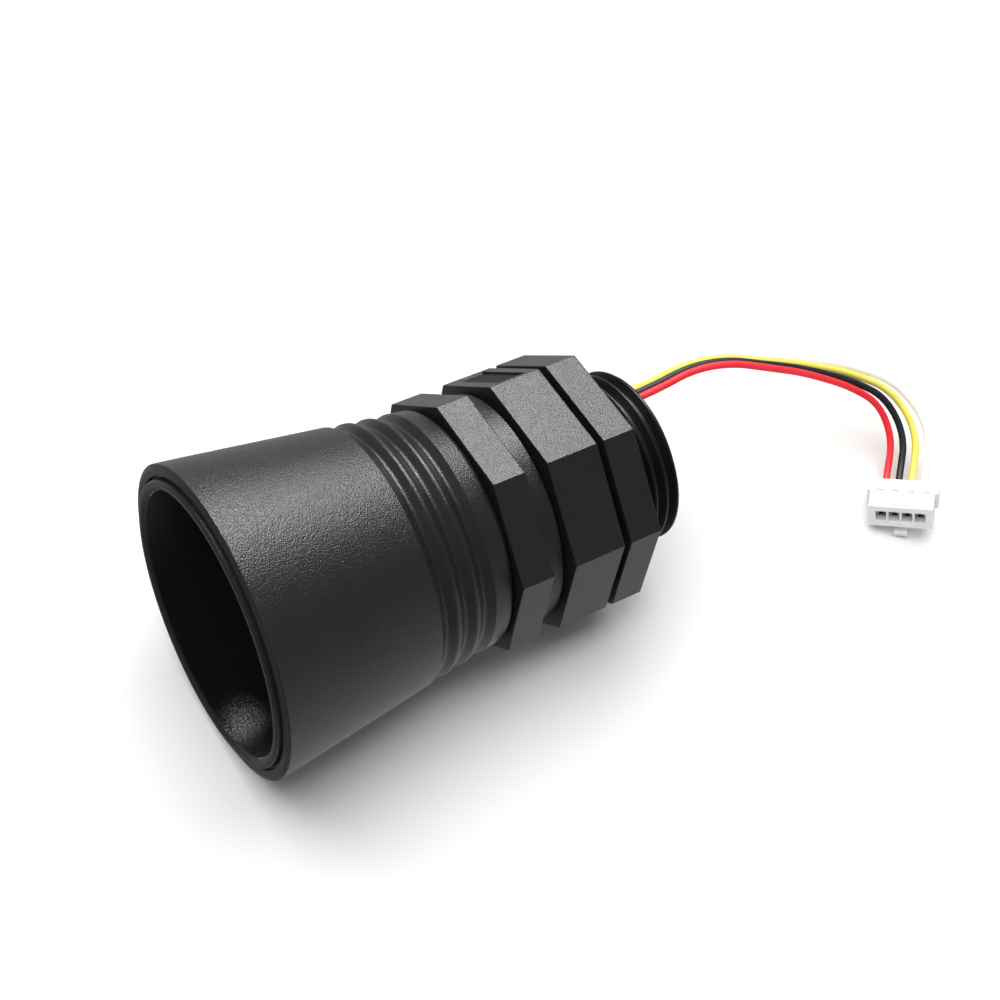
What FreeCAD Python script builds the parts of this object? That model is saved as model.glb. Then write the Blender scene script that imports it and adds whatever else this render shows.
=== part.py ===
import FreeCAD, Part
import Sketcher
import math
import os

# Ultrasonic level sensor with a sound horn: units are millimetres, +Z up.
# The sensor lies on its side. Every coaxial piece is drawn along its own X axis,
# station 0 at the front of the horn's lip, and is then laid down by one placement:
# the rear end is lower than the horn, so the body rests on the rim and on one flat
# of the lock nut.

V = FreeCAD.Vector
doc = FreeCAD.newDocument("level_sensor")
sheet = doc.addObject("Spreadsheet::Sheet", "Dims")

DIMS = [
    # pose on the ground
    ("lay_tilt", 4.467), ("shift_x", 43.36), ("start_z", 28.547), ("start_x", 0.505),
    # horn, outside
    ("lip_ro", 27.1), ("lip_back", 1.05), ("step_s", 1.45), ("step_r", 26.6), ("bevel_r", 27.75),
    ("edge_s", 1.75), ("edge_r", 28.5), ("groove_a", 33.6), ("groove_pitch", 4.07), ("groove_half", 1.85),
    ("groove_top", 0.15), ("groove_depth", 1.1), ("cone_slope", 0.14), ("neck_s", 45.9), ("neck_mid_s", 47.0),
    ("neck_mid_r", 21.9), ("neck_end_r", 21.2), ("hex_one_s", 47.97), ("hex_one_w", 6.36), ("across_flats", 45.29),
    ("collar_r", 21.5), ("collar_s", 57.99),
    ("spigot_r", 17.4), ("spigot_s", 62.3),
    # horn, inside
    ("lip_ri", 24.3), ("throat_s", 43.5), ("throat_r", 8.3), ("seat_s", 45.0), ("seat_r", 10.2),
    ("wall_shell", 2.3), ("pocket_tip_s", 11.0), ("pocket_tip_r", 24.0), ("pocket_tip_ri", 23.2), ("pocket_end_r", 19.3),
    ("pocket_end_s", 45.2), ("funnel_back_r", 12.6),
    # gaskets
    ("seal_ri", 17.6), ("seal_ro", 20.4), ("seal_gap", 0.01),
    # housing
    ("hous_s", 58.76), ("hous_w", 10.23), ("recess_s", 61.0), ("recess_w", 5.8), ("recess_half", 8.4), ("recess_d", 0.4),
    ("thread_r", 16.62), ("thread_end", 86.8), ("thread_chamfer", 0.3), ("socket_r", 17.5), ("socket_s", 62.5), ("front_bore_r", 12.6),
    ("ledge_s", 67.0), ("rear_bore_r", 14.4),
    # lock nut and its gasket
    ("nut_s", 70.33), ("nut_w", 6.34), ("nut_bore_r", 16.7), ("nut_chamfer", 0.7), ("washer_ri", 16.9), ("washer_ro", 20.2), ("washer_s", 69.0), ("washer_w", 1.32),
    # transducer
    ("can_r", 8.0), ("can_s", 44.2), ("can_len", 10.2), ("can_wall", 0.6), ("can_face", 0.7), ("piezo_r", 5.2), ("piezo_t", 0.6),
    ("sleeve_s", 45.02), ("sleeve_len", 9.3), ("fill_len", 6.9), ("lead_r", 0.4), ("lead_off", 2.54),
    # circuit board
    ("board_t", 1.6), ("board_r", 14.3),
    # potting
    ("pot_s", 77.5), ("pot_end", 83.5),
    # wires
    ("wire_d", 1.4),
    # connector
    ("con_w", 12.4), ("con_d", 8.2), ("con_h", 5.2), ("cav_w", 2.05), ("cav_h", 2.45), ("cav_pitch", 2.5), ("cav_z", 1.4),
    ("arm_w", 2.65), ("arm_t", 0.9), ("arm_gap", 1.45), ("arm_len", 2.6), ("web_v", 1.6), ("rib_t", 0.75), ("rib_v", 4.6), ("rib_h", 3.8),
    ("win_w", 1.25), ("win_len", 1.9), ("win_deep", 0.55), ("win_v", 3.3), ("win_pitch", 2.95),
    ("con_w_end", 1.7), ("contact_h", 2.0), ("contact_len", 4.1), ("contact_v", 1.5), ("contact_wall", 0.3),
]
for i, (word, value) in enumerate(DIMS, 1):
    sheet.set("A%d" % i, word)
    sheet.set("B%d" % i, repr(value))
    sheet.setAlias("B%d" % i, word)
doc.recompute()
D = {word: float(sheet.get(word)) for word, _ in DIMS}

# ------------------------------------------------------------------ placement
TILT = math.radians(D["lay_tilt"])
START = V(D["start_x"] - D["shift_x"], 0, D["start_z"])
LAY = FreeCAD.Placement(START, FreeCAD.Rotation(V(0, 1, 0), D["lay_tilt"]))
parts = []


def named(obj, label, placement=None):
    obj.Label = label
    if placement is not None:
        obj.Placement = placement
    parts.append(obj)
    return obj


def bind(obj, **how):
    for prop, expr in how.items():
        obj.setExpression(prop.replace("__", "."), expr)
    return obj


def plane(body, role):
    return [f for f in body.Origin.OriginFeatures if f.Role == role][0]


def profile_body(name, points):
    """A body turned about X. points are (station, radius) pairs of expressions."""
    body = doc.addObject("PartDesign::Body", name)
    sk = body.newObject("Sketcher::SketchObject", name + "_profile")
    sk.AttachmentSupport = (plane(body, "XY_Plane"), [""])
    sk.MapMode = "FlatFace"
    n = len(points)
    vals = []
    for a, b in points:
        probe = []
        for e in (a, b):
            text = e
            for word in sorted(D, key=len, reverse=True):
                text = text.replace("Dims." + word, "(" + repr(D[word]) + ")")
            probe.append(text)
        vals.append(probe)
    nums = [(number(p), number(q)) for p, q in vals]
    for i in range(n):
        a, b = nums[i], nums[(i + 1) % n]
        sk.addGeometry(Part.LineSegment(V(a[0], a[1], 0), V(b[0], b[1], 0)), False)
    for i in range(n):
        sk.addConstraint(Sketcher.Constraint("Coincident", i, 2, (i + 1) % n, 1))
    for i in range(n):
        cx = sk.addConstraint(Sketcher.Constraint("DistanceX", -1, 1, i, 1, nums[i][0]))
        sk.setExpression("Constraints[%d]" % cx, points[i][0])
        cy = sk.addConstraint(Sketcher.Constraint("DistanceY", -1, 1, i, 1, nums[i][1]))
        sk.setExpression("Constraints[%d]" % cy, points[i][1])
    rev = body.newObject("PartDesign::Revolution", name + "_turned")
    rev.Profile = sk
    rev.ReferenceAxis = (sk, ["H_Axis"])
    rev.Angle = 360.0
    body.Tip = rev
    doc.recompute()
    return body


def plain_disc(name, s_expr, w_expr, r_expr):
    """A round disc about X, turned from a four-sided profile."""
    return profile_body(name, [(s_expr, "0"), (s_expr, r_expr), (s_expr + " + " + w_expr, r_expr), (s_expr + " + " + w_expr, "0")])


def number(text):
    """Value of a sum of products such as 28.5 - 0.14 * (33.6 - 1.75)."""
    pos = [0]
    s = text.replace(" ", "")

    def atom():
        if s[pos[0]] == "(":
            pos[0] += 1
            v = total()
            pos[0] += 1
            return v
        if s[pos[0]] == "-":
            pos[0] += 1
            return -atom()
        start = pos[0]
        while pos[0] < len(s) and (s[pos[0]].isdigit() or s[pos[0]] == "."):
            pos[0] += 1
        return float(s[start:pos[0]])

    def product():
        v = atom()
        while pos[0] < len(s) and s[pos[0]] in "*/":
            op = s[pos[0]]
            pos[0] += 1
            w = atom()
            v = v * w if op == "*" else v / w
        return v

    def total():
        v = product()
        while pos[0] < len(s) and s[pos[0]] in "+-":
            op = s[pos[0]]
            pos[0] += 1
            w = product()
            v = v + w if op == "+" else v - w
        return v

    return total()


def rings(shape, wanted):
    """Names of the circular edges about X at the given (station, radius) pairs."""
    names = []
    for i, e in enumerate(shape.Edges, 1):
        c = e.Curve
        if c.TypeId == "Part::GeomCircle":
            for s, r in wanted:
                if abs(c.Center.x - s) < 0.02 and abs(c.Radius - r) < 0.02 and abs(c.Center.y) + abs(c.Center.z) < 0.02:
                    names.append("Edge%d" % i)
    return names


def round_rings(base, name, wanted, radius):
    doc.recompute()
    names = rings(base.Shape, wanted)
    if not names:
        raise RuntimeError(name + ": no edge found")
    f = doc.addObject("Part::Fillet", name)
    f.Base = base
    f.Edges = [(int(n[4:]), radius, radius) for n in names]
    doc.recompute()
    if "Invalid" in f.State or f.Shape.isNull():
        raise RuntimeError(name + " failed")
    return f


def prism(name, s_expr, w_expr):
    """An eight-sided bar along X with a flat at the top and bottom."""
    p = doc.addObject("Part::Prism", name)
    p.Polygon = 8
    bind(p, Circumradius="Dims.across_flats / 2 / cos(22.5deg)", Height=w_expr)
    p.Placement = FreeCAD.Placement(V(D[s_expr], 0, 0), FreeCAD.Rotation(V(0, 0, 1), V(1, 0, 0)) * FreeCAD.Rotation(V(0, 0, 1), 22.5))
    p.setExpression(".Placement.Base.x", "Dims." + s_expr)
    return p


def rod(name, s_expr, w_expr, r_expr):
    c = doc.addObject("Part::Cylinder", name)
    bind(c, Radius=r_expr, Height=w_expr)
    c.Placement = FreeCAD.Placement(V(0, 0, 0), FreeCAD.Rotation(V(0, 0, 1), V(1, 0, 0)))
    c.setExpression(".Placement.Base.x", s_expr)
    return c


def cut(name, base, *tools):
    cur = base
    for i, t in enumerate(tools):
        o = doc.addObject("Part::Cut", name if i == len(tools) - 1 else "%s_c%d" % (name, i))
        o.Base, o.Tool = cur, t
        cur = o
    return cur


def fuse(name, *shapes):
    o = doc.addObject("Part::MultiFuse", name)
    o.Shapes = list(shapes)
    o.Refine = False
    return o


# ------------------------------------------------------------------------ horn
# One moulding: lip, cone with three turned grooves, neck, eight-sided wrench
# flats, plain collar and the spigot that plugs into the housing. The funnel and
# the outer shell are two walls with a pocket between them, open to the rear.
def cone(s):
    return "Dims.edge_r - Dims.cone_slope * (%s - Dims.edge_s)" % s


pts = [("0", "Dims.lip_ri"), ("0", "Dims.lip_ro"), ("Dims.lip_back", "Dims.lip_ro"),
       ("Dims.step_s", "Dims.step_r"), ("Dims.step_s", "Dims.bevel_r"), ("Dims.edge_s", "Dims.edge_r")]
first, last = "(Dims.groove_a - Dims.groove_half)", "(Dims.groove_a + Dims.groove_pitch * 2 + Dims.groove_half)"
pts.append((first, cone(first)))
for k in range(3):
    s = "(Dims.groove_a + Dims.groove_pitch * %d)" % k
    pts.append((s, cone(s) + " - Dims.groove_depth"))
    if k < 2:
        s = "(Dims.groove_a + Dims.groove_pitch * %s)" % (k + 0.5)
        pts.append((s, cone(s) + " + Dims.groove_top"))
pts.append((last, cone(last)))
pts += [("Dims.neck_s", cone("Dims.neck_s")), ("Dims.neck_mid_s", "Dims.neck_mid_r"),
        ("Dims.hex_one_s", "Dims.neck_end_r"), ("Dims.hex_one_s + Dims.hex_one_w", "Dims.collar_r"),
        ("Dims.collar_s", "Dims.collar_r"), ("Dims.collar_s", "Dims.spigot_r"), ("Dims.spigot_s", "Dims.spigot_r"),
        ("Dims.spigot_s", "Dims.spigot_r - Dims.wall_shell"), ("Dims.pocket_end_s + 7", "Dims.spigot_r - Dims.wall_shell"),
        ("Dims.pocket_end_s", "Dims.pocket_end_r"), ("Dims.pocket_tip_s", "Dims.pocket_tip_r"), ("Dims.pocket_tip_s", "Dims.pocket_tip_ri"),
        ("Dims.throat_s - 1.5", "Dims.funnel_back_r"), ("Dims.seat_s + Dims.sleeve_len", "Dims.funnel_back_r"),
        ("Dims.seat_s + Dims.sleeve_len", "Dims.seat_r"), ("Dims.seat_s", "Dims.seat_r"), ("Dims.seat_s", "Dims.throat_r"),
        ("Dims.throat_s", "Dims.throat_r")]
horn_body = profile_body("horn_turning", pts)
horn_cur = round_rings(horn_body, "lip_outer_round", [(0, D["lip_ro"])], 0.8)
horn_cur = round_rings(horn_cur, "lip_inner_round", [(0, D["lip_ri"])], 1.5)
horn_cur = round_rings(horn_cur, "edge_round", [(D["edge_s"], D["edge_r"])], 0.25)


def cone_r(s):
    return D["edge_r"] - D["cone_slope"] * (s - D["edge_s"])


crest, top, floor_ = [], [], []
for k in range(3):
    s = D["groove_a"] + D["groove_pitch"] * k
    floor_.append((s, cone_r(s) - D["groove_depth"]))
    if k < 2:
        s += D["groove_pitch"] / 2
        top.append((s, cone_r(s) + D["groove_top"]))
for s in (D["groove_a"] - D["groove_half"], D["groove_a"] + D["groove_pitch"] * 2 + D["groove_half"]):
    crest.append((s, cone_r(s)))
horn_cur = round_rings(horn_cur, "groove_edge_round", crest, 0.35)
horn_cur = round_rings(horn_cur, "groove_ridge_round", top, 1.4)
horn_cur = round_rings(horn_cur, "groove_floor_round", floor_, 0.7)
horn_cur = round_rings(horn_cur, "neck_round", [(D["neck_s"], cone_r(D["neck_s"])), (D["neck_mid_s"], D["neck_mid_r"])], 0.8)
oct_one_bar = prism("oct_one_bar", "hex_one_s", "Dims.hex_one_w")
oct_one_hole = rod("oct_one_hole", "Dims.hex_one_s - 1", "Dims.hex_one_w + 2", "Dims.neck_end_r - 1.2")
oct_one = cut("oct_one", oct_one_bar, oct_one_hole)
horn = fuse("horn_moulding", horn_cur, oct_one)
named(horn, "horn", LAY)

# ------------------------------------------------------- seal behind the collar
seal_bar = rod("seal_bar", "Dims.collar_s + Dims.seal_gap", "Dims.hous_s - Dims.collar_s - 2 * Dims.seal_gap", "Dims.seal_ro")
seal_hole = rod("seal_hole", "Dims.collar_s - 1", "Dims.hous_s - Dims.collar_s + 2", "Dims.seal_ri")
named(cut("seal_ring", seal_bar, seal_hole), "horn_seal", LAY)

# --------------------------------------------------------------------- housing
# Eight-sided flange and threaded barrel in one moulding. The thread is drawn at
# its crest radius; the shallow field on one flat is blank.
hb = profile_body("barrel_turning", [
    ("Dims.hous_s + 1", "Dims.front_bore_r"), ("Dims.hous_s + 1", "Dims.thread_r"),
    ("Dims.thread_end - Dims.thread_chamfer", "Dims.thread_r"), ("Dims.thread_end", "Dims.thread_r - Dims.thread_chamfer"),
    ("Dims.thread_end", "Dims.rear_bore_r"), ("Dims.ledge_s", "Dims.rear_bore_r"), ("Dims.ledge_s", "Dims.front_bore_r")])
flange_bar = prism("flange_bar", "hous_s", "Dims.hous_w")
flange_bore = rod("flange_bore", "Dims.hous_s - 1", "Dims.hous_w + 2", "Dims.thread_r - 0.8")
socket_hole = rod("socket_hole", "Dims.hous_s - 1", "Dims.socket_s - Dims.hous_s + 1", "Dims.socket_r")
field = doc.addObject("Part::Box", "blank_field")
bind(field, Length="Dims.recess_w", Width="Dims.recess_half * 2", Height="5")
field.Placement = FreeCAD.Placement(V(0, 0, 0), FreeCAD.Rotation())
rot45 = FreeCAD.Rotation(V(1, 0, 0), -45)
corner = rot45.multVec(V(0, -D["recess_half"], D["across_flats"] / 2 - D["recess_d"]))
field.Placement = FreeCAD.Placement(V(D["recess_s"], corner.y, corner.z), rot45)
field.setExpression(".Placement.Base.x", "Dims.recess_s")
flange = cut("flange", flange_bar, flange_bore, field)
housing = cut("housing_moulding", fuse("housing_solid", flange, hb), socket_hole)
named(housing, "housing", LAY)

# ----------------------------------------------- lock nut and its flat gasket
wb = rod("washer_bar", "Dims.washer_s", "Dims.washer_w", "Dims.washer_ro")
wh = rod("washer_hole", "Dims.washer_s - 1", "Dims.washer_w + 2", "Dims.washer_ri")
named(cut("washer_ring", wb, wh), "nut_gasket", LAY)
nut_bar = prism("nut_bar", "nut_s", "Dims.nut_w")
nut_tool = profile_body("nut_bore_tool", [
    ("Dims.nut_s - 1", "0"), ("Dims.nut_s - 1", "Dims.nut_bore_r + Dims.nut_chamfer"), ("Dims.nut_s", "Dims.nut_bore_r + Dims.nut_chamfer"),
    ("Dims.nut_s + Dims.nut_chamfer", "Dims.nut_bore_r"), ("Dims.nut_s + Dims.nut_w - Dims.nut_chamfer", "Dims.nut_bore_r"),
    ("Dims.nut_s + Dims.nut_w", "Dims.nut_bore_r + Dims.nut_chamfer"), ("Dims.nut_s + Dims.nut_w + 1", "Dims.nut_bore_r + Dims.nut_chamfer"),
    ("Dims.nut_s + Dims.nut_w + 1", "0")])
named(cut("nut_body", nut_bar, nut_tool), "lock_nut", LAY)

# ------------------------------------------------------------------ transducer
can_out = rod("can_out", "Dims.can_s", "Dims.can_len", "Dims.can_r")
can_in = rod("can_in", "Dims.can_s + Dims.can_face", "Dims.can_len", "Dims.can_r - Dims.can_wall")
named(cut("can_cup", can_out, can_in), "transducer_can", LAY)
named(plain_disc("piezo", "Dims.can_s + Dims.can_face", "Dims.piezo_t", "Dims.piezo_r"), "piezo_disc", LAY)
named(plain_disc("damper", "Dims.can_s + Dims.can_face + Dims.piezo_t", "Dims.fill_len", "Dims.can_r - Dims.can_wall - 0.02"), "damping_pad", LAY)
slv_out = rod("slv_out", "Dims.sleeve_s", "Dims.sleeve_len", "Dims.seat_r - 0.02")
slv_in = rod("slv_in", "Dims.sleeve_s - 1", "Dims.sleeve_len + 2", "Dims.can_r + 0.02")
named(cut("slv", slv_out, slv_in), "transducer_sleeve", LAY)
pad_end = D["can_s"] + D["can_face"] + D["piezo_t"] + D["fill_len"]
for tag, sgn in (("a", 1), ("b", -1)):
    lead = rod("lead_" + tag, "Dims.can_s + Dims.can_face + Dims.piezo_t + Dims.fill_len",
               "Dims.ledge_s - Dims.can_s - Dims.can_face - Dims.piezo_t - Dims.fill_len", "Dims.lead_r")
    lead.setExpression(".Placement.Base.y", "%d * Dims.lead_off" % sgn)
    doc.recompute()
    pl = lead.Placement
    lead.setExpression(".Placement.Base.x", None)
    lead.setExpression(".Placement.Base.y", None)
    named(lead, "transducer_lead_" + tag, LAY.multiply(pl))

# --------------------------------------------------------------- circuit board
named(plain_disc("board", "Dims.ledge_s", "Dims.board_t", "Dims.board_r"), "circuit_board", LAY)
top = D["ledge_s"] + D["board_t"]


def on_board(label, w_y, w_z, high, y, z, front=False):
    b = doc.addObject("Part::Box", label)
    b.Length, b.Width, b.Height = high, w_y, w_z
    s = D["ledge_s"] - high if front else top
    named(b, label, LAY.multiply(FreeCAD.Placement(V(s, y - w_y / 2, z - w_z / 2), FreeCAD.Rotation())))


on_board("controller_chip", 6.2, 5.3, 1.2, -4.5, 3.5)
on_board("driver_chip", 4.9, 3.9, 1.5, 5.0, 4.5)
on_board("voltage_regulator", 2.9, 2.6, 1.1, -6.5, -4.5)
on_board("pulse_transformer", 5.2, 5.2, 3.6, 3.5, -5.0)
cap = doc.addObject("Part::Cylinder", "filter_capacitor")
cap.Radius, cap.Height = 2.0, 5.2
named(cap, "filter_capacitor", LAY.multiply(FreeCAD.Placement(V(top, -1.2, -9.0), FreeCAD.Rotation(V(0, 0, 1), V(1, 0, 0)))))
xt = doc.addObject("Part::Box", "clock_crystal")
xt.Length, xt.Width, xt.Height = 1.0, 3.2, 2.5
named(xt, "clock_crystal", LAY.multiply(FreeCAD.Placement(V(top, -1.6, 8.0), FreeCAD.Rotation())))
named(plain_disc("potting", "Dims.pot_s", "Dims.pot_end - Dims.pot_s", "Dims.rear_bore_r - 0.02"), "potting_plug", LAY)

# ----------------------------------------------------------------------- wires
# Route points of the wires' centre lines, before the shift along X.
ROUTES = {
    "wire_red": [[84.58, 3.51, 32.70], [94.24, 3.48, 32.48], [102.92, 4.04, 32.95], [111.02, 2.61, 31.88], [118.48, 0.15, 28.78], [125.74, -1.36, 25.01], [132.49, -2.93, 20.61], [138.91, -4.59, 15.95], [144.86, -7.62, 10.75], [145.07, -13.58, 5.73], [140.30, -18.91, 2.28], [135.84, -23.07, 3.75]],
    "wire_black": [[84.54, 4.99, 32.08], [94.24, 4.90, 31.79], [102.98, 5.43, 32.22], [111.13, 4.02, 31.21], [118.63, 1.61, 28.25], [125.94, 0.18, 24.65], [132.93, -1.30, 20.43], [140.00, -3.13, 15.98], [146.92, -7.02, 11.04], [147.55, -14.38, 6.26], [142.04, -20.60, 2.89], [137.58, -24.76, 4.36]],
    "wire_yellow": [[84.49, 6.46, 31.46], [94.24, 6.32, 31.10], [103.03, 6.81, 31.49], [111.25, 5.42, 30.54], [118.77, 3.08, 27.71], [126.14, 1.72, 24.28], [133.36, 0.32, 20.24], [141.10, -1.67, 16.01], [148.99, -6.43, 11.33], [150.03, -15.18, 6.78], [143.78, -22.29, 3.49], [139.32, -26.45, 4.96]],
    "wire_white": [[84.44, 7.94, 30.85], [94.23, 7.74, 30.41], [103.09, 8.20, 30.76], [111.36, 6.82, 29.87], [118.92, 4.55, 27.18], [126.34, 3.27, 23.92], [133.80, 1.95, 20.05], [142.19, -0.20, 16.04], [151.05, -5.83, 11.62], [152.51, -15.99, 7.30], [145.52, -23.98, 4.10], [141.06, -28.14, 5.57]],
}


def bent_path(points):
    """Straight runs joined by tangent arcs, each as large as its runs allow."""
    pts = [V(*p) - V(D["shift_x"], 0, 0) for p in points]
    edges, radii, last = [], [], pts[0]
    for a, b, c in zip(pts, pts[1:], pts[2:]):
        u, w = (a - b), (c - b)
        la, lc = u.Length, w.Length
        u, w = u / la, w / lc
        turn = math.pi - u.getAngle(w)
        t = 0.45 * min(la, lc)
        r = t / math.tan(turn / 2)
        p1, p2 = b + u * t, b + w * t
        bis = (u + w).normalize()
        centre = b + bis * math.hypot(t, r)
        mid = centre - bis * r
        edges.append(Part.LineSegment(last, p1).toShape())
        edges.append(Part.Arc(p1, mid, p2).toShape())
        radii.append(r)
        last = p2
    edges.append(Part.LineSegment(last, pts[-1]).toShape())
    return Part.Wire(edges), radii


R_WIRE = D["wire_d"] / 2
for label, points in ROUTES.items():
    path, radii = bent_path(points)
    start = path.Vertexes[0].Point
    along = path.Edges[0].tangentAt(path.Edges[0].FirstParameter)
    ring = Part.Wire([Part.Circle(start, along, R_WIRE).toShape()])
    tube = path.makePipeShell([ring], True, False)
    feature = doc.addObject("Part::Feature", label)
    feature.Shape = tube
    named(feature, label)
    want = math.pi * R_WIRE ** 2 * path.Length
    print(label, "length %.2f" % path.Length, "volume ratio %.4f" % (abs(tube.Volume) / want),
          "radii", " ".join("%.1f" % r for r in radii))
    if abs(abs(tube.Volume) / want - 1) > 0.01:
        raise RuntimeError(label + ": wrong volume")

# ------------------------------------------------------------------- connector
# Own frame: X along the row of contacts, Y from the mating face to the back, Z up.
CU, CV, CW = V(0.6965, -0.6756, 0.2416), V(0.7145, 0.6839, -0.1474), V(-0.0657, 0.2753, 0.9591)
CON = FreeCAD.Placement(V(134.549 - D["shift_x"], -30.216, 3.006), FreeCAD.Rotation(CU, CV, CW, "XYZ"))


def block(name, length, width, height, x, y, z):
    b = doc.addObject("Part::Box", name)
    bind(b, Length=length, Width=width, Height=height)
    b.setExpression(".Placement.Base.x", x)
    b.setExpression(".Placement.Base.y", y)
    b.setExpression(".Placement.Base.z", z)
    return b


shell = block("con_block", "Dims.con_w", "Dims.con_d", "Dims.con_h", "-Dims.con_w / 2", "0", "0")
rib_l = block("con_rib_l", "Dims.rib_t + 0.5", "Dims.con_d - Dims.rib_v", "Dims.rib_h", "-Dims.con_w / 2 - Dims.rib_t", "Dims.rib_v", "Dims.con_h - Dims.rib_h")
rib_r = block("con_rib_r", "Dims.rib_t + 0.5", "Dims.con_d - Dims.rib_v", "Dims.rib_h", "Dims.con_w / 2 - 0.5", "Dims.rib_v", "Dims.con_h - Dims.rib_h")
arm = block("con_arm", "Dims.arm_w", "Dims.arm_len", "Dims.arm_t", "-Dims.arm_w / 2", "0", "-Dims.arm_gap - Dims.arm_t")
web = block("con_web", "Dims.arm_w", "Dims.arm_len - Dims.web_v", "Dims.arm_gap + 1", "-Dims.arm_w / 2", "Dims.web_v", "-Dims.arm_gap - 0.5")
solid = fuse("con_solid", shell, rib_l, rib_r, arm, web)
tools = []
for i in range(4):
    tools.append(block("cavity_%d" % (i + 1), "Dims.cav_w", "Dims.con_d + 2", "Dims.cav_h",
                       "Dims.cav_pitch * %.1f - Dims.cav_w / 2" % (i - 1.5), "-1", "Dims.cav_z"))
    tools.append(block("window_%d" % (i + 1), "Dims.win_w", "Dims.win_len", "Dims.win_deep + 1",
                       "Dims.win_pitch * %.1f - Dims.win_w / 2" % (i - 1.5), "Dims.win_v", "Dims.con_h - Dims.win_deep"))
named(cut("con_housing", solid, fuse("con_holes", *tools)), "connector_housing", CON)
for i in range(4):
    b = block("term_%d" % (i + 1), "Dims.con_w_end", "Dims.contact_len", "Dims.contact_h",
              "Dims.cav_pitch * %.1f - Dims.con_w_end / 2" % (i - 1.5), "Dims.contact_v", "Dims.cav_z")
    h = block("term_hole_%d" % (i + 1), "Dims.con_w_end - 2 * Dims.contact_wall", "Dims.contact_len - 1", "Dims.contact_h - 2 * Dims.contact_wall",
              "Dims.cav_pitch * %.1f - Dims.con_w_end / 2 + Dims.contact_wall" % (i - 1.5), "Dims.contact_v - 0.5", "Dims.cav_z + Dims.contact_wall")
    named(cut("terminal_%d" % (i + 1), b, h), "contact_%d" % (i + 1), CON)

doc.recompute()

# ----------------------------------------------------------------------- write
bad = [o.Name for o in doc.Objects if "Invalid" in o.State or "Error" in o.State]
if bad:
    raise RuntimeError("failed objects: %s" % bad)
os.makedirs("parts", exist_ok=True)
low, high = [1e9] * 3, [-1e9] * 3
for o in parts:
    shape = o.Shape
    if shape.isNull() or not shape.isValid():
        raise RuntimeError("bad shape: " + o.Label)
    if len(shape.Solids) != 1:
        raise RuntimeError("%s has %d solids" % (o.Label, len(shape.Solids)))
    shape.exportStep("parts/%s.step" % o.Label)
    if not (o.Label.startswith("wire_") or o.Label.startswith("contact_") or o.Label == "connector_housing"):
        bb = shape.optimalBoundingBox(True, False)
        for i, (a, b) in enumerate(((bb.XMin, bb.XMax), (bb.YMin, bb.YMax), (bb.ZMin, bb.ZMax))):
            low[i], high[i] = min(low[i], a), max(high[i], b)
print(len(parts), "pieces; body box", [round(v, 3) for v in low], [round(v, 3) for v in high])
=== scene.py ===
import math

import bpy
from mathutils import Matrix, Vector


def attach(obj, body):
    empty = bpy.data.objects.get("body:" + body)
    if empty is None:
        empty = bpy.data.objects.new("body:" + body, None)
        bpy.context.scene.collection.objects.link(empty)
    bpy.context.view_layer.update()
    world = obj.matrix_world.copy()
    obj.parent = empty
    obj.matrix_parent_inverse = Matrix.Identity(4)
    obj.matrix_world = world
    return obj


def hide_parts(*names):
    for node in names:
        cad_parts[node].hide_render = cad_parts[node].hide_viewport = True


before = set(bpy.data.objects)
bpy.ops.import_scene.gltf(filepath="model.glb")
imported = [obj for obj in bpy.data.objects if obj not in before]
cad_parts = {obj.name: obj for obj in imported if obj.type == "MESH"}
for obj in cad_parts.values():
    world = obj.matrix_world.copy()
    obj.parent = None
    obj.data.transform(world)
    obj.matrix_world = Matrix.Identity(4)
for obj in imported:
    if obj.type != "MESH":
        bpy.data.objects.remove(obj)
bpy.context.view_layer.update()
scene = bpy.context.scene
MM = 0.001
DOME, SWEEP, BEHIND = 0.22, 0.8, 0.38

# ---------------------------------------------------------------- placement
# Coaxial pieces are drawn along their own axis: station (towards the rear),
# then radius and angle, and laid down as the sensor lies.
TILT = math.radians(4.467)
AX = Vector((math.cos(TILT), 0.0, -math.sin(TILT)))
UP = Vector((math.sin(TILT), 0.0, math.cos(TILT)))
SHIFT = 43.36
START = Vector((0.505 - SHIFT, 0.0, 28.547))


def laid(s, y, w):
    return (START + AX * s + Vector((0, y, 0)) + UP * w) * MM


# ------------------------------------------------------------------- camera
cam_data = bpy.data.cameras.new("photo_camera")
cam = bpy.data.objects.new("photo_camera", cam_data)
scene.collection.objects.link(cam)
cam_data.sensor_fit = "HORIZONTAL"
cam_data.sensor_width = 36.0
cam_data.lens = 1848.04 / 1000.0 * 36.0
cam_data.clip_start = 0.01
cam_data.clip_end = 20.0
c_right = Vector((0.85106, -0.52067, 0.06785))
c_up = Vector((0.38990, 0.71322, 0.58249))
c_fwd = Vector((0.35168, 0.46928, -0.81000))
rot = Matrix((c_right, c_up, -c_fwd)).transposed()
cam.matrix_world = Matrix.Translation(Vector((-57.875 - SHIFT, -155.796, 294.724)) * MM) @ rot.to_4x4()
scene.camera = cam

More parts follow.
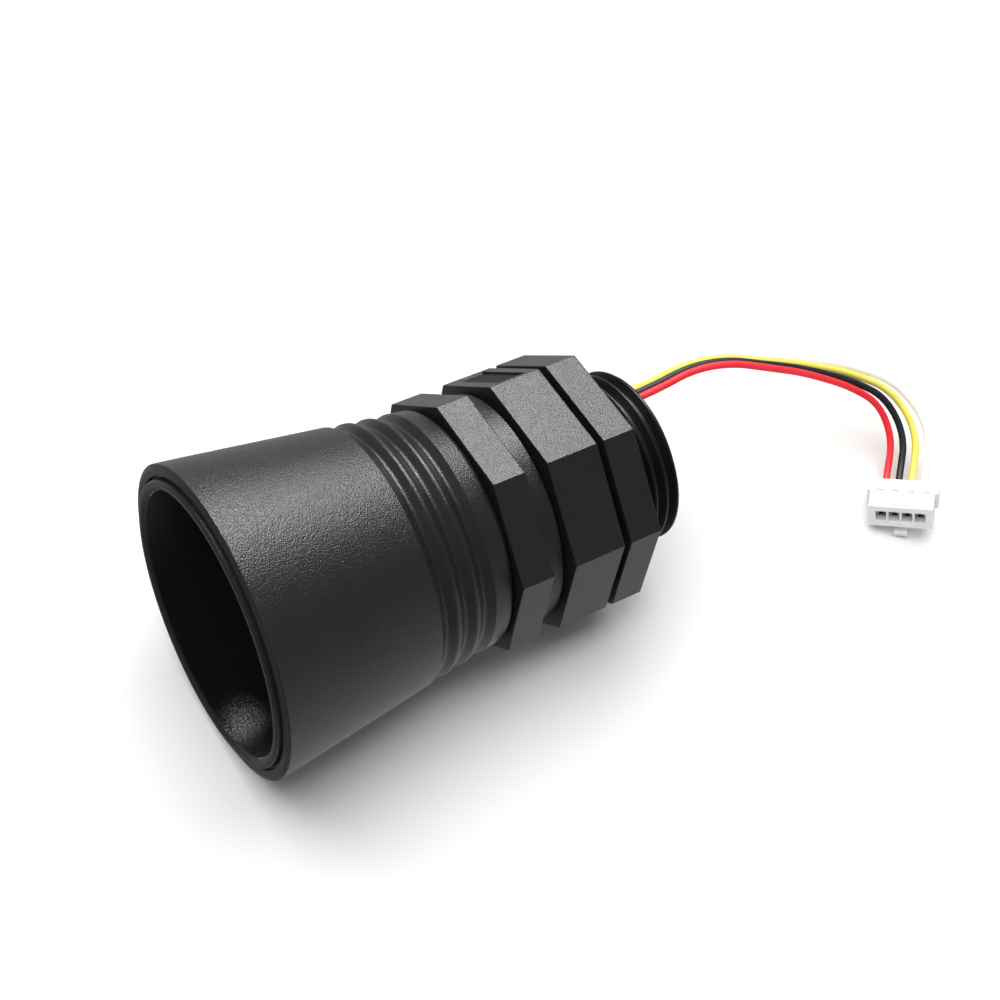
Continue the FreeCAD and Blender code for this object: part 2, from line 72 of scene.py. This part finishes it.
# -------------------------------------------------------------------- cords
# The routes of the four wires, as they are in the CAD source, before the shift.
ROUTES = {
    "wire_red": [[84.58, 3.51, 32.70], [94.24, 3.48, 32.48], [102.92, 4.04, 32.95], [111.02, 2.61, 31.88], [118.48, 0.15, 28.78], [125.74, -1.36, 25.01], [132.49, -2.93, 20.61], [138.91, -4.59, 15.95], [144.86, -7.62, 10.75], [145.07, -13.58, 5.73], [140.30, -18.91, 2.28], [135.84, -23.07, 3.75]],
    "wire_black": [[84.54, 4.99, 32.08], [94.24, 4.90, 31.79], [102.98, 5.43, 32.22], [111.13, 4.02, 31.21], [118.63, 1.61, 28.25], [125.94, 0.18, 24.65], [132.93, -1.30, 20.43], [140.00, -3.13, 15.98], [146.92, -7.02, 11.04], [147.55, -14.38, 6.26], [142.04, -20.60, 2.89], [137.58, -24.76, 4.36]],
    "wire_yellow": [[84.49, 6.46, 31.46], [94.24, 6.32, 31.10], [103.03, 6.81, 31.49], [111.25, 5.42, 30.54], [118.77, 3.08, 27.71], [126.14, 1.72, 24.28], [133.36, 0.32, 20.24], [141.10, -1.67, 16.01], [148.99, -6.43, 11.33], [150.03, -15.18, 6.78], [143.78, -22.29, 3.49], [139.32, -26.45, 4.96]],
    "wire_white": [[84.44, 7.94, 30.85], [94.23, 7.74, 30.41], [103.09, 8.20, 30.76], [111.36, 6.82, 29.87], [118.92, 4.55, 27.18], [126.34, 3.27, 23.92], [133.80, 1.95, 20.05], [142.19, -0.20, 16.04], [151.05, -5.83, 11.62], [152.51, -15.99, 7.30], [145.52, -23.98, 4.10], [141.06, -28.14, 5.57]],
}
WIRE_D = 1.4
wires = {}
for name, points in ROUTES.items():
    curve = bpy.data.curves.new(name + "_line", "CURVE")
    curve.dimensions = "3D"
    spline = curve.splines.new("NURBS")
    spline.points.add(len(points) - 1)
    for p, q in zip(spline.points, points):
        p.co = ((q[0] - SHIFT) * MM, q[1] * MM, q[2] * MM, 1.0)
    spline.order_u = 3
    spline.use_endpoint_u = True
    spline.resolution_u = 16
    curve.bevel_depth = WIRE_D / 2 * MM
    curve.bevel_resolution = 6
    curve.use_fill_caps = True
    obj = bpy.data.objects.new(name + "_insulation", curve)
    scene.collection.objects.link(obj)
    wires[name] = obj


# ---------------------------------------------------------------- materials
def node_material(name):
    m = bpy.data.materials.new(name)
    m.use_nodes = True
    nt = m.node_tree
    for n in list(nt.nodes):
        nt.nodes.remove(n)
    out = nt.nodes.new("ShaderNodeOutputMaterial")
    sh = nt.nodes.new("ShaderNodeBsdfPrincipled")
    nt.links.new(sh.outputs["BSDF"], out.inputs["Surface"])
    tc = nt.nodes.new("ShaderNodeTexCoord")
    return m, nt, sh, tc


def noise(nt, tc, scale, detail=2.0, rough=0.5, squash=None):
    n = nt.nodes.new("ShaderNodeTexNoise")
    n.inputs["Scale"].default_value = scale
    n.inputs["Detail"].default_value = detail
    n.inputs["Roughness"].default_value = rough
    if squash is None:
        nt.links.new(tc.outputs["Object"], n.inputs["Vector"])
    else:
        mp = nt.nodes.new("ShaderNodeMapping")
        mp.inputs["Scale"].default_value = squash
        nt.links.new(tc.outputs["Object"], mp.inputs["Vector"])
        nt.links.new(mp.outputs["Vector"], n.inputs["Vector"])
    return n


def ramp(nt, source, stops):
    r = nt.nodes.new("ShaderNodeValToRGB")
    el = r.color_ramp.elements
    el[0].position, el[0].color = stops[0][0], (*stops[0][1], 1)
    el[1].position, el[1].color = stops[-1][0], (*stops[-1][1], 1)
    for pos, col in stops[1:-1]:
        e = el.new(pos)
        e.color = (*col, 1)
    nt.links.new(source, r.inputs["Fac"])
    return r


def span(nt, source, a, b, lo, hi):
    m = nt.nodes.new("ShaderNodeMapRange")
    m.inputs["From Min"].default_value = a
    m.inputs["From Max"].default_value = b
    m.inputs["To Min"].default_value = lo
    m.inputs["To Max"].default_value = hi
    nt.links.new(source, m.inputs["Value"])
    return m.outputs["Result"]


def bump(nt, height, strength, distance, normal=None):
    b = nt.nodes.new("ShaderNodeBump")
    b.inputs["Strength"].default_value = strength
    b.inputs["Distance"].default_value = distance
    nt.links.new(height, b.inputs["Height"])
    if normal is not None:
        nt.links.new(normal, b.inputs["Normal"])
    return b.outputs["Normal"]


def grained(name, dark, light, rough_lo, rough_hi, grain, depth, fine=0.3, spec=0.34):
    """Moulded plastic with a pebbled grain: irregular cells, broken up by finer noise."""
    m, nt, sh, tc = node_material(name)
    tone = noise(nt, tc, 140, 3, 0.55)
    nt.links.new(ramp(nt, tone.outputs["Fac"], [(0.32, dark), (0.68, light)]).outputs["Color"], sh.inputs["Base Color"])
    wob = noise(nt, tc, grain * 0.95, 1.5, 0.5)
    cells = nt.nodes.new("ShaderNodeTexVoronoi")
    cells.feature = "SMOOTH_F1"
    cells.inputs["Scale"].default_value = grain
    cells.inputs["Smoothness"].default_value = 0.6
    nt.links.new(tc.outputs["Object"], cells.inputs["Vector"])
    mix = nt.nodes.new("ShaderNodeMath")
    mix.operation = "MULTIPLY_ADD"
    nt.links.new(cells.outputs["Distance"], mix.inputs[0])
    mix.inputs[1].default_value = -1.1
    nt.links.new(wob.outputs["Fac"], mix.inputs[2])
    n1 = bump(nt, mix.outputs["Value"], 1.0, depth)
    micro = noise(nt, tc, grain * 3.1, 2.0, 0.5)
    n2 = bump(nt, micro.outputs["Fac"], fine, depth * 0.35, n1)
    nt.links.new(n2, sh.inputs["Normal"])
    smear = noise(nt, tc, 420, 3, 0.6)
    nt.links.new(span(nt, smear.outputs["Fac"], 0.3, 0.7, rough_lo, rough_hi), sh.inputs["Roughness"])
    sh.inputs["Specular IOR Level"].default_value = spec
    return m


def plain(name, dark, light, rough_lo, rough_hi, scale=600, depth=0.000012, metal=0.0, spec=0.5, coat=0.0, squash=None, sub=0.0):
    m, nt, sh, tc = node_material(name)
    tone = noise(nt, tc, scale * 0.35, 3, 0.55, squash)
    nt.links.new(ramp(nt, tone.outputs["Fac"], [(0.3, dark), (0.7, light)]).outputs["Color"], sh.inputs["Base Color"])
    g = noise(nt, tc, scale, 3, 0.6, squash)
    nt.links.new(span(nt, g.outputs["Fac"], 0.3, 0.7, rough_lo, rough_hi), sh.inputs["Roughness"])
    nt.links.new(bump(nt, g.outputs["Fac"], 0.6, depth), sh.inputs["Normal"])
    sh.inputs["Metallic"].default_value = metal
    sh.inputs["Specular IOR Level"].default_value = spec
    if coat:
        sh.inputs["Coat Weight"].default_value = coat
        sh.inputs["Coat Roughness"].default_value = 0.08
    if sub:
        sh.inputs["Subsurface Weight"].default_value = sub
        sh.inputs["Subsurface Radius"].default_value = (0.6, 0.5, 0.4)
        sh.inputs["Subsurface Scale"].default_value = 0.001
    return m


BLACK = grained("black_moulding", (0.0125, 0.0125, 0.0128), (0.0150, 0.0150, 0.0153), 0.33, 0.37, 3800, 0.00004)
CONE = grained("black_cone", (0.0125, 0.0125, 0.0128), (0.0150, 0.0150, 0.0153), 0.33, 0.37, 4000, 0.00006, spec=0.41)
# painted shade: the horn's inside is the same plastic, given a much darker base colour
FUNNEL_SHADE = grained("funnel_painted_shade", (0.0004, 0.0004, 0.0004), (0.0008, 0.0008, 0.0008), 0.30, 0.34, 4400, 0.00006, spec=0.25)
TURNED = grained("black_grooves", (0.0125, 0.0125, 0.0128), (0.0150, 0.0150, 0.0153), 0.30, 0.34, 4400, 0.00003)
# painted highlight for the mouth's inner edge, full and half strength; the plastic there is the same black as elsewhere
EDGE_HIGHLIGHT = plain("painted_highlight_edge", (0.56, 0.56, 0.56), (0.66, 0.66, 0.66), 0.4, 0.5, 900, 0.000004, spec=0.4)
HALF_HIGHLIGHT = plain("painted_half_highlight_edge", (0.24, 0.24, 0.24), (0.30, 0.30, 0.30), 0.4, 0.5, 900, 0.000004, spec=0.4)
BLANK = plain("blank_field", (0.004, 0.004, 0.004), (0.007, 0.007, 0.007), 0.55, 0.65, 2400, 0.00008, spec=0.2)
# painted shade: the thread is the same moulding as the flange, given a darker base colour for the shade in its grooves
THREAD_SHADE = grained("black_thread_painted_shade", (0.006, 0.006, 0.0062), (0.010, 0.010, 0.0102), 0.30, 0.38, 1900, 0.00002)
SEAL = plain("seal_rubber", (0.006, 0.006, 0.006), (0.010, 0.010, 0.010), 0.62, 0.75, 900, 0.00002, spec=0.3)
SLEEVE = plain("sleeve_rubber", (0.012, 0.012, 0.012), (0.02, 0.02, 0.02), 0.6, 0.75, 700, 0.00003, spec=0.35)
CAN = plain("can_metal", (0.05, 0.05, 0.052), (0.08, 0.08, 0.083), 0.32, 0.44, 1400, 0.000008, metal=0.6)
RESIN = plain("cast_resin", (0.006, 0.006, 0.007), (0.011, 0.011, 0.012), 0.10, 0.2, 120, 0.00008, coat=0.5)
RED = plain("red_insulation", (0.92, 0.022, 0.036), (0.98, 0.036, 0.055), 0.52, 0.6, 900, 0.000008, spec=0.28)
# black insulation; its slight blue tint is a painted bluish sheen
BLK = plain("black_insulation", (0.009, 0.013, 0.017), (0.014, 0.020, 0.027), 0.48, 0.58, 900, 0.000008, spec=0.32)
YEL = plain("yellow_insulation", (0.93, 0.78, 0.12), (0.98, 0.86, 0.16), 0.5, 0.6, 900, 0.000008, spec=0.3)
WHT = plain("white_insulation", (0.90, 0.90, 0.89), (0.97, 0.97, 0.96), 0.36, 0.46, 900, 0.000008)
NYLON = plain("white_nylon", (0.84, 0.84, 0.835), (0.90, 0.90, 0.895), 0.38, 0.5, 800, 0.000015, sub=0.05)
TIN = plain("tinned_metal", (0.42, 0.41, 0.39), (0.60, 0.59, 0.57), 0.28, 0.42, 1600, 0.000006, metal=1.0)
BOARD = plain("solder_resist", (0.008, 0.09, 0.04), (0.012, 0.13, 0.06), 0.3, 0.42, 500, 0.000015, coat=0.3)
CHIP = plain("chip_plastic", (0.012, 0.012, 0.012), (0.02, 0.02, 0.02), 0.5, 0.62, 1500, 0.00001)
FERRITE = plain("ferrite", (0.035, 0.035, 0.038), (0.06, 0.06, 0.065), 0.5, 0.65, 1500, 0.00002)
CERAMIC = plain("fired_ceramic", (0.50, 0.49, 0.45), (0.60, 0.59, 0.55), 0.5, 0.62, 1200, 0.00001)
FOAM = plain("damper", (0.16, 0.15, 0.14), (0.24, 0.23, 0.21), 0.8, 0.9, 700, 0.00006)
STEEL = plain("plated_steel", (0.50, 0.50, 0.51), (0.62, 0.62, 0.63), 0.25, 0.36, 1500, 0.000006, metal=1.0, squash=(1, 1, 8))
COPPER = plain("tinned_copper", (0.50, 0.30, 0.18), (0.62, 0.42, 0.28), 0.3, 0.42, 1500, 0.000006, metal=1.0)


def dress(obj, material):
    obj.data.materials.clear()
    obj.data.materials.append(material)


# ---------------------------------------------------------------- mesh tools
FLAT = 45.29 / 2
CORNER = math.radians(22.5)


def angles(lines=()):
    """Angles round the axis, closer together beside the eight corners, with extra lines."""
    out = []
    for k in range(8):
        mid = 45.0 * k
        side = [i * 1.5 for i in range(0, 14)]
        side += [21.3, 21.8, 22.12, 22.231, 22.33, 22.42, 22.5]
        for a in side:
            out.append(mid + a)
            if 0 < a < 22.5:
                out.append(mid - a)
    out += list(lines)
    out = sorted(set(round(a % 360.0, 4) for a in out))
    return [math.radians(a) for a in out]


def eight(phi, flat, corner):
    """Radius of an eight-sided outline with rounded corners."""
    t = (phi + CORNER) % (2 * CORNER) - CORNER
    q = CORNER - abs(t)
    d = (flat - corner) / math.cos(CORNER)
    lim = math.atan2(corner * math.sin(CORNER), d + corner * math.cos(CORNER))
    if q < lim:
        return d * math.cos(q) + math.sqrt(max(0.0, corner * corner - (d * math.sin(q)) ** 2))
    return flat / math.cos(t)


def rounded(points):
    """(s, r, fillet) corners of a closed outline to a list of (s, r) with arcs."""
    n, out = len(points), []
    for i in range(n):
        a, b, c = (Vector(points[(i + k) % n][:2]) for k in (-1, 0, 1))
        rad = points[i][2] if len(points[i]) > 2 else 0.0
        u, v = a - b, c - b
        lu, lv = u.length, v.length
        if rad <= 0 or lu < 1e-6 or lv < 1e-6:
            out.append((b.x, b.y))
            continue
        u, v = u / lu, v / lv
        ang = u.angle(v)
        if math.pi - ang < 0.02:
            out.append((b.x, b.y))
            continue
        t = min(rad / math.tan(ang / 2), 0.48 * min(lu, lv))
        rad = t * math.tan(ang / 2)
        mid = b + (u + v).normalized() * (rad / math.sin(ang / 2))
        p, q = b + u * t, b + v * t
        e, f = p - mid, q - mid
        sweep = math.pi - ang
        steps = max(2, int(math.ceil(sweep / math.radians(9))))
        for k in range(steps + 1):
            w = k / steps
            g = (e * math.sin((1 - w) * sweep) + f * math.sin(w * sweep)) / math.sin(sweep) if sweep > 1e-4 else e
            out.append((mid.x + g.x, mid.y + g.y))
    return out


def ring_mesh(name, rows, phis, material, closed=True, split=None):
    """rows: functions or numbers, each giving (s, r) at an angle. The rows close up."""
    verts, faces = [], []
    m = len(phis)
    for row in rows:
        for phi in phis:
            s, r = row(phi) if callable(row) else row
            verts.append(laid(s, r * math.cos(phi), r * math.sin(phi)))
    n = len(rows)
    for i in range(n if closed else n - 1):
        j = (i + 1) % n
        for k in range(m):
            l = (k + 1) % m
            faces.append((i * m + k, j * m + k, j * m + l, i * m + l))
    mesh = bpy.data.meshes.new(name)
    mesh.from_pydata(verts, [], faces)
    mesh.update()
    obj = bpy.data.objects.new(name, mesh)
    scene.collection.objects.link(obj)
    finish_mesh(obj, material)
    return obj


def finish_mesh(obj, material, angle=28.0):
    import bmesh
    bm = bmesh.new()
    bm.from_mesh(obj.data)
    bmesh.ops.remove_doubles(bm, verts=bm.verts, dist=2e-7)
    bmesh.ops.dissolve_degenerate(bm, edges=bm.edges, dist=2e-7)
    bmesh.ops.recalc_face_normals(bm, faces=bm.faces)
    lim = math.radians(angle)
    for e in bm.edges:
        if len(e.link_faces) == 2 and e.calc_face_angle(0.0) > lim:
            e.smooth = False
    for f in bm.faces:
        f.smooth = True
    bm.to_mesh(obj.data)
    bm.free()
    dress(obj, material)
    wn = obj.modifiers.new("normals", "WEIGHTED_NORMAL")
    wn.keep_sharp = True
    wn.weight = 60


PHIS = angles()

# --------------------------------------------------------------------- horn
EDGE_R, SLOPE, EDGE_S = 28.5, 0.14, 1.75


def cone(s):
    return EDGE_R - SLOPE * (s - EDGE_S)


outline = [(0, 24.3, 1.1), (0, 25.9, 0.55), (1.55, 25.95, 0.08), (1.55, 26.3, 0.08), (0.9, 26.45, 0.1), (0.85, 27.6, 0.3), (1.2, 28.52, 0.3)]
for s in (6.0, 12.0, 18.0, 24.0, 29.0):
    outline.append((s, cone(s)))
outline.append((31.75, cone(31.75), 0.35))
for k in range(3):
    mid = 33.6 + 4.07 * k
    outline.append((mid, cone(mid) - 1.3, 0.9))
    if k < 2:
        outline.append((mid + 2.035, cone(mid + 2.035) + 0.15, 0.9))
outline.append((43.59, cone(43.59), 0.35))
outline += [(47.1, cone(47.1), 1.2), (47.97, 21.2, 0.0)]
rear = [(54.33, 21.5, 0.0), (56.2, 21.5), (57.99, 21.5, 0.12), (57.99, 17.4, 0.1), (62.3, 17.4, 0.2),
        (62.3, 15.1, 0.1), (52.2, 15.1, 0.3), (45.2, 19.3, 0.5), (30.0, 21.3), (11.0, 24.0, 0.2), (11.0, 23.2, 0.2), (25.0, 18.5), (42.0, 12.6, 0.5),
        (54.3, 12.6, 0.1), (54.3, 10.2, 0.1), (45.0, 10.2, 0.1), (45.0, 8.3, 0.1), (43.5, 8.3, 0.3), (36.0, 11.06), (28.0, 14.0), (20.0, 16.945), (12.0, 19.89), (5.0, 22.46)]
pts = rounded(outline + rear)
# where the eight-sided band goes in, between the two plain points of the neck
cut = [i for i, p in enumerate(pts) if abs(p[0] - 47.97) < 1e-3 and abs(p[1] - 21.2) < 1e-3][0]


def band(s0, s1, flat, edge, corner, r0, r1, rim=0.0):
    """Rows of an eight-sided band between two round rows. Edges have a small fillet."""
    rows = [(s0, r0)]
    rows.append(lambda p, s=s0: (s, (eight(p, flat - edge, corner) + r0) / 2))
    for k in range(5):
        a = math.radians(90 - 22.5 * k)
        rows.append(lambda p, s=s0 + edge * (1 - math.sin(a)), f=flat - edge * (1 - math.cos(a)): (s, eight(p, f, corner)))
    rows.append(lambda p, s=s0 + edge + 0.3: (s, eight(p, flat, corner)))
    mid = (s0 + s1) / 2
    rows.append(lambda p, s=mid: (s, eight(p, flat, corner)))
    rows.append(lambda p, s=s1 - edge - 0.3: (s, eight(p, flat, corner)))
    for k in range(5):
        a = math.radians(22.5 * k)
        rows.append(lambda p, s=s1 - edge * (1 - math.sin(a)), f=flat - edge * (1 - math.cos(a)): (s, eight(p, f, corner)))
    rows.append(lambda p, s=s1: (s, (eight(p, flat - edge, corner) + r1) / 2))
    rows.append((s1, r1))
    return rows


oct_rows = band(47.97, 54.33, FLAT, 0.16, 0.18, 21.2, 21.5)
rows = pts[:cut] + oct_rows + pts[cut + 2:]
horn = ring_mesh("horn_shell", rows, PHIS, BLACK)
for m in (FUNNEL_SHADE, TURNED, EDGE_HIGHLIGHT, CONE, HALF_HIGHLIGHT):
    horn.data.materials.append(m)
for f in horn.data.polygons:
    c = f.center / MM - START
    st = c.dot(AX)
    rad = (c - AX * st).length
    # painted highlight: the inner edge is painted bright along its upper side, at full strength where it faces up and
    # half-bright beside that
    facing_up = (c - AX * st).normalized().dot(Vector((0, -0.5, 0.866)))
    if 0.50 < st < 0.72 and rad < 24.3 and facing_up > -0.1:
        f.material_index = 3 if facing_up > 0.3 else 5
    # painted shade on the inner wall of the funnel
    elif 0.72 <= st < 43.4 and rad < 24.45 - 0.365 * st:
        f.material_index = 1
    elif 31.9 < st < 43.45 and rad > 21.6:
        f.material_index = 2
    elif 1.3 < st < 31.9 and rad > 24.0:
        f.material_index = 4
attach(horn, "sensor")
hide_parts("horn")

# ------------------------------------------------------------------ housing
PITCH, CREST, ROOT = 2.309, 16.62, 15.141


def thread_r(s, phi, grow=0.0):
    """Radius of the rounded 55 degree thread at a station and angle."""
    t = ((s - 81.20 - PITCH * (phi - math.pi / 2) / (2 * math.pi)) / PITCH + 0.5) % 1.0 - 0.5
    x = abs(t) * PITCH
    half = PITCH / 2
    slope = 1.0 / math.tan(math.radians(27.5))
    rad = 0.317
    top, bottom = CREST + grow, ROOT + grow
    tip = rad * math.cos(math.radians(27.5))
    if x < tip:
        return top - rad + math.sqrt(rad * rad - x * x)
    if half - x < tip:
        return bottom + rad - math.sqrt(rad * rad - (half - x) ** 2)
    line0 = top - rad + rad * math.sin(math.radians(27.5))
    return line0 - (x - tip) * slope


FIELD = math.degrees(math.atan(8.4 / FLAT))
FIELD_IN = math.degrees(math.atan(8.32 / FLAT))
hp = angles((45 + FIELD, 45 - FIELD, 45 + FIELD_IN, 45 - FIELD_IN))


def flange(s, flat=FLAT, deep=0.0):
    def row(phi):
        r = eight(phi, flat, 0.18)
        if deep:
            d = abs(math.degrees(phi) - 45.0)
            if d < FIELD_IN + 1e-3:
                r -= deep / math.cos(math.radians(d))
        return (s, r)
    return row


s0, s1, e = 58.76, 68.99, 0.16
rows = [(s0, 17.5), lambda p: (s0, (eight(p, FLAT - e, 0.18) + 17.5) / 2)]
for k in range(5):
    a = math.radians(90 - 22.5 * k)
    rows.append(flange(s0 + e * (1 - math.sin(a)), FLAT - e * (1 - math.cos(a))))
rows += [flange(s0 + 0.5), flange(61.0), flange(61.05, deep=0.4), flange(62.5, deep=0.4), flange(65.3, deep=0.4), flange(66.75, deep=0.4), flange(66.8), flange(s1 - 0.5)]
for k in range(5):
    a = math.radians(22.5 * k)
    rows.append(flange(s1 - e * (1 - math.sin(a)), FLAT - e * (1 - math.cos(a))))
rows.append(lambda p: (s1, (eight(p, FLAT - e, 0.18) + 17.2) / 2))


def barrel(s):
    def row(phi):
        fade = min(1.0, max(0.0, (s - 69.3) / 0.9))
        r = thread_r(s, phi)
        r = 15.3 + (r - 15.3) * fade if r > 15.3 else r
        if s > 86.9:
            r = min(r, CREST - (s - 86.9))
        return (s, r)
    return row


rows.append((s1, 15.3))
s = 69.15
while s < 87.14:
    rows.append(barrel(s))
    s += 0.105
rows.append(barrel(87.15))
rows += [(87.15, 15.0), (87.15, 14.55), (87.0, 14.4), (80.0, 14.4), (67.0, 14.4), (67.0, 12.6), (62.5, 12.6), (62.5, 17.5)]
housing = ring_mesh("housing_shell", rows, hp, BLACK)
housing.data.materials.append(THREAD_SHADE)
housing.data.materials.append(BLANK)
for f in housing.data.polygons:
    c = f.center / MM - START
    st = c.dot(AX)
    # painted shade on the threaded barrel
    if st > 69.0:
        f.material_index = 1
    if 61.06 < st < 66.74 and c.dot(UP) > 0 and c.y > 0:
        flat_r = (c - AX * st).dot((UP + Vector((0, 1, 0))).normalized())
        if FLAT - 0.42 < flat_r < FLAT - 0.38:
            f.material_index = 2
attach(housing, "sensor")
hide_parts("housing")

# ----------------------------------------------------------------- lock nut
n0, n1 = 70.33, 76.67
rows = band(n0, n1, FLAT, 0.16, 0.18, 17.5, 17.5)
inner = []
s = n1 - 0.02
while s > n0:
    def row(phi, s=s):
        ch = max(0.0, (n0 + 0.75 - s), (s - (n1 - 0.75)))
        r = thread_r(s, phi, 0.08)
        return (s, max(r, ROOT + 1.6 + ch) if ch > 0 else r)
    inner.append(row)
    s -= 0.105
rows += inner
nut = ring_mesh("nut_shell", rows, PHIS, BLACK)
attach(nut, "nut")
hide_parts("lock_nut")


# -------------------------------------------------------------- turned rings
def turned(name, outline, material, body, node):
    obj = ring_mesh(name, rounded(outline), PHIS, material)
    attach(obj, body)
    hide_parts(node)
    return obj


turned("seal_ring", [(58.0, 17.6, 0.15), (58.0, 20.4, 0.3), (58.75, 20.4, 0.3), (58.75, 17.6, 0.15)], SEAL, "sensor", "horn_seal")
turned("gasket_ring", [(69.0, 16.9, 0.2), (69.0, 20.2, 0.4), (70.32, 20.2, 0.4), (70.32, 16.9, 0.2)], SEAL, "gasket", "nut_gasket")
turned("sleeve_ring", [(45.02, 8.02, 0.15), (45.02, 10.18, 0.2), (54.32, 10.18, 0.3), (54.32, 8.02, 0.3)], SLEEVE, "sensor", "transducer_sleeve")
turned("can_cup", [(44.2, 0.02), (44.2, 3.0), (44.2, 6.9, 0.1), (44.35, 7.1, 0.1), (44.2, 7.3, 0.1), (44.2, 8.0, 0.35), (54.4, 8.0, 0.1), (54.4, 7.4, 0.1), (44.9, 7.4, 0.2), (44.9, 0.02)],
       CAN, "sensor", "transducer_can")
turned("resin_plug", [(77.5, 0.02), (77.5, 14.38, 0.1), (83.95, 14.38, 0.0), (83.62, 13.9, 0.3), (83.5, 12.6, 0.5), (83.5, 0.02)], RESIN, "sensor", "potting_plug")

# -------------------------------------------------------- CAD nodes that stay
finish_of = {
    "piezo_disc": CERAMIC, "damping_pad": FOAM, "transducer_lead_a": COPPER, "transducer_lead_b": COPPER, "circuit_board": BOARD,
    "controller_chip": CHIP, "driver_chip": CHIP, "voltage_regulator": CHIP, "pulse_transformer": FERRITE, "filter_capacitor": STEEL,
    "clock_crystal": STEEL, "connector_housing": NYLON, "contact_1": TIN, "contact_2": TIN, "contact_3": TIN, "contact_4": TIN,
    "horn": BLACK, "housing": BLACK, "lock_nut": BLACK, "horn_seal": SEAL, "nut_gasket": SEAL, "transducer_sleeve": SLEEVE,
    "transducer_can": CAN, "potting_plug": RESIN, "wire_red": RED, "wire_black": BLK, "wire_yellow": YEL, "wire_white": WHT,
}
for node, material in finish_of.items():
    dress(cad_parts[node], material)
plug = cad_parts["connector_housing"]
weld = plug.modifiers.new("weld", "WELD")
weld.merge_threshold = 1e-6
bev = plug.modifiers.new("edges", "BEVEL")
bev.width = 0.00011
bev.segments = 2
bev.limit_method = "ANGLE"
bev.angle_limit = math.radians(40)
bev.harden_normals = False

# -------------------------------------------------------------------- wires
for (name, obj), mat in zip(wires.items(), (RED, BLK, YEL, WHT)):
    dress(obj, mat)
    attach(obj, "sensor")
    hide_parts(name)
    q = ROUTES[name][0]

# --------------------------------------------------------- floor and lights
bpy.ops.mesh.primitive_plane_add(size=6.0, location=(0.3, 0.3, 0.0))
floor = bpy.context.object
floor.name = "floor"
fm, nt, sh, tc = node_material("pale_floor")
sh.inputs["Base Color"].default_value = (0.93, 0.93, 0.93, 1)
sh.inputs["Roughness"].default_value = 0.9
sh.inputs["Specular IOR Level"].default_value = 0.0
dress(floor, fm)
floor.visible_glossy = False

# The surroundings: an even grey dome. Below the horizon it stands in for what a
# white sweep in front of the object would throw back, so the floor isn't mirrored twice.
world = bpy.data.worlds.new("studio")
scene.world = world
world.use_nodes = True
wt = world.node_tree
bg = wt.nodes["Background"]
bg.inputs["Color"].default_value = (1, 1, 1, 1)
wc = wt.nodes.new("ShaderNodeTexCoord")
front = wt.nodes.new("ShaderNodeVectorMath")
front.operation = "DOT_PRODUCT"
front.inputs[1].default_value = (0.40, -0.55, -0.73)
wt.links.new(wc.outputs["Generated"], front.inputs[0])
fr = wt.nodes.new("ShaderNodeMapRange")
fr.interpolation_type = "SMOOTHSTEP"
fr.inputs["From Min"].default_value = 0.55
fr.inputs["From Max"].default_value = 0.95
fr.inputs["To Min"].default_value = DOME
fr.inputs["To Max"].default_value = SWEEP
wt.links.new(front.outputs["Value"], fr.inputs["Value"])
low = wt.nodes.new("ShaderNodeVectorMath")
low.operation = "DOT_PRODUCT"
low.inputs[1].default_value = (0.376, 0.78, -0.5)
wt.links.new(wc.outputs["Generated"], low.inputs[0])
lf = wt.nodes.new("ShaderNodeMapRange")
lf.interpolation_type = "SMOOTHSTEP"
lf.inputs["From Min"].default_value = 0.60
lf.inputs["From Max"].default_value = 0.96
lf.inputs["To Min"].default_value = 0.0
lf.inputs["To Max"].default_value = BEHIND
wt.links.new(low.outputs["Value"], lf.inputs["Value"])
both = wt.nodes.new("ShaderNodeMath")
both.operation = "ADD"
wt.links.new(fr.outputs["Result"], both.inputs[0])
wt.links.new(lf.outputs["Result"], both.inputs[1])
wt.links.new(both.outputs["Value"], bg.inputs["Strength"])


def area(name, target, direction, dist, size_x, size_y, power):
    light = bpy.data.lights.new(name, "AREA")
    light.shape = "RECTANGLE"
    light.size, light.size_y = size_x, size_y
    light.energy = power
    o = bpy.data.objects.new(name, light)
    scene.collection.objects.link(o)
    d = Vector(direction).normalized()
    o.location = Vector(target) + d * dist
    o.rotation_euler = (-d).to_track_quat("-Z", "Y").to_euler()
    return o


key = area("top_back", (0, 0, 0.03), (0.385, 0.45, 0.80), 0.9, 0.55, 0.55, 15.9)
key.visible_diffuse = False
# a small glint on the lower inside of the mouth
spot = area("mouth_glint", laid(3.0, -9.2, -21.1), (-0.138, 0.889, 0.432), 0.022, 0.005, 0.005, 0.00008)
spot.visible_camera = False
spot.data.spread = math.radians(23)
spot.visible_diffuse = False
fill = area("floor_fill", (0.1, 0.0, 0.0), (0.0, 0.25, 1.0), 1.6, 2.2, 2.2, 50.0)
fill.visible_glossy = False

scene.view_settings.view_transform = "Standard"
scene.view_settings.look = "None"
scene.view_settings.exposure = 0.0
scene.view_settings.gamma = 1.0
